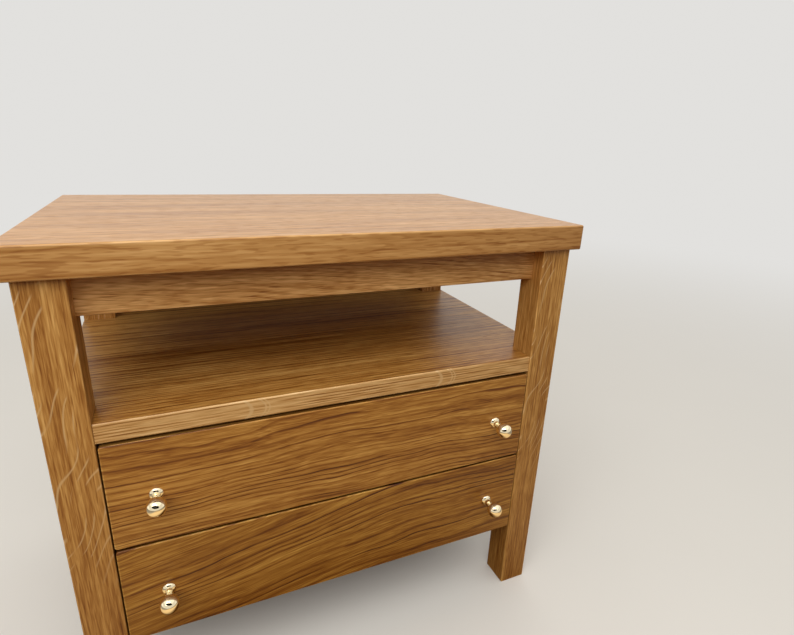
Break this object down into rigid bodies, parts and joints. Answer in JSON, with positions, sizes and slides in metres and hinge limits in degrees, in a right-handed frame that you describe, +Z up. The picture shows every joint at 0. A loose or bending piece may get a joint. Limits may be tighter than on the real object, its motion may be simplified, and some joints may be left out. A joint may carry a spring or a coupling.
{
  "type": "nightstand",
  "caption": "Solid oak nightstand with an open shelf compartment over stacked inset drawers on full-extension slides, with brass ball knobs.",
  "frame": {"origin": "on the floor, at the centre of the overall box in plan, which reaches from the knobs' front to the top's back edge", "axes": "+Z up, front towards -Y, +X to the right as seen from the front"},
  "size_m": [0.6, 0.403, 0.55],
  "materials": {
    "oak": "satin oiled oak",
    "drawer_box_oak": "matt oak",
    "birch_ply": "matt veneer",
    "beech_dowel": "raw",
    "polished_brass": "polished",
    "slide_steel": "zinc-plated sheet",
    "bearing_steel": "polished",
    "zinc_steel": "zinc-plated"
  },
  "bodies": {
    "case": {"top_panel": "oak", "leg_front_left": "oak", "leg_front_right": "oak", "leg_back_left": "oak", "leg_back_right": "oak", "rail_top_front": "oak", "rail_top_back": "oak", "rail_top_left": "oak", "rail_top_right": "oak", "rail_bottom_front": "oak", "rail_bottom_back": "oak", "side_panel_left": "oak", "side_panel_right": "oak", "shelf": "oak", "back_panel": "oak", "top_screws": "zinc_steel", "bottom_rail_dowels": "beech_dowel", "shelf_dowels": "beech_dowel", "upper_slide_case_member_left": "slide_steel", "upper_slide_case_member_right": "slide_steel", "upper_slide_case_screws": "zinc_steel", "lower_slide_case_member_left": "slide_steel", "lower_slide_case_member_right": "slide_steel", "lower_slide_case_screws": "zinc_steel"},
    "upper_drawer": {"upper_drawer_front": "oak", "upper_drawer_inner_front": "drawer_box_oak", "upper_drawer_back": "drawer_box_oak", "upper_drawer_bottom": "birch_ply", "upper_drawer_side_left": "drawer_box_oak", "upper_drawer_side_right": "drawer_box_oak", "upper_knob_left": "polished_brass", "upper_knob_right": "polished_brass", "upper_front_screws": "zinc_steel", "upper_knob_screws": "zinc_steel", "upper_slide_drawer_screws": "zinc_steel", "upper_slide_drawer_member_left": "slide_steel", "upper_slide_drawer_member_right": "slide_steel"},
    "upper_slide_middles": {"upper_slide_middle_member_left": "slide_steel", "upper_slide_middle_member_right": "slide_steel"},
    "upper_slide_outer_cages": {"upper_slide_outer_ball_cages": "bearing_steel"},
    "upper_slide_inner_cages": {"upper_slide_inner_ball_cages": "bearing_steel"},
    "lower_drawer": {"lower_drawer_front": "oak", "lower_drawer_inner_front": "drawer_box_oak", "lower_drawer_back": "drawer_box_oak", "lower_drawer_bottom": "birch_ply", "lower_drawer_side_left": "drawer_box_oak", "lower_drawer_side_right": "drawer_box_oak", "lower_knob_left": "polished_brass", "lower_knob_right": "polished_brass", "lower_front_screws": "zinc_steel", "lower_knob_screws": "zinc_steel", "lower_slide_drawer_screws": "zinc_steel", "lower_slide_drawer_member_left": "slide_steel", "lower_slide_drawer_member_right": "slide_steel"},
    "lower_slide_middles": {"lower_slide_middle_member_left": "slide_steel", "lower_slide_middle_member_right": "slide_steel"},
    "lower_slide_outer_cages": {"lower_slide_outer_ball_cages": "bearing_steel"},
    "lower_slide_inner_cages": {"lower_slide_inner_ball_cages": "bearing_steel"}
  },
  "joints": [
    {"name": "upper_drawer_slide", "type": "slide", "parent": "case", "child": "upper_drawer", "axis": [0, -1, 0], "range_m": [0, 0.3]},
    {"name": "upper_middle_slide", "type": "slide", "parent": "case", "child": "upper_slide_middles", "axis": [0, -1, 0], "range_m": [0, 0.15]},
    {"name": "upper_outer_cage_slide", "type": "slide", "parent": "case", "child": "upper_slide_outer_cages", "axis": [0, -1, 0], "range_m": [0, 0.075]},
    {"name": "upper_inner_cage_slide", "type": "slide", "parent": "case", "child": "upper_slide_inner_cages", "axis": [0, -1, 0], "range_m": [0, 0.225]},
    {"name": "lower_drawer_slide", "type": "slide", "parent": "case", "child": "lower_drawer", "axis": [0, -1, 0], "range_m": [0, 0.3]},
    {"name": "lower_middle_slide", "type": "slide", "parent": "case", "child": "lower_slide_middles", "axis": [0, -1, 0], "range_m": [0, 0.15]},
    {"name": "lower_outer_cage_slide", "type": "slide", "parent": "case", "child": "lower_slide_outer_cages", "axis": [0, -1, 0], "range_m": [0, 0.075]},
    {"name": "lower_inner_cage_slide", "type": "slide", "parent": "case", "child": "lower_slide_inner_cages", "axis": [0, -1, 0], "range_m": [0, 0.225]}
  ],
  "couplings": [
    {"joint": "upper_middle_slide", "follows": "upper_drawer_slide", "ratio": 0.5},
    {"joint": "upper_outer_cage_slide", "follows": "upper_drawer_slide", "ratio": 0.25},
    {"joint": "upper_inner_cage_slide", "follows": "upper_drawer_slide", "ratio": 0.75},
    {"joint": "lower_middle_slide", "follows": "lower_drawer_slide", "ratio": 0.5},
    {"joint": "lower_outer_cage_slide", "follows": "lower_drawer_slide", "ratio": 0.25},
    {"joint": "lower_inner_cage_slide", "follows": "lower_drawer_slide", "ratio": 0.75}
  ]
}
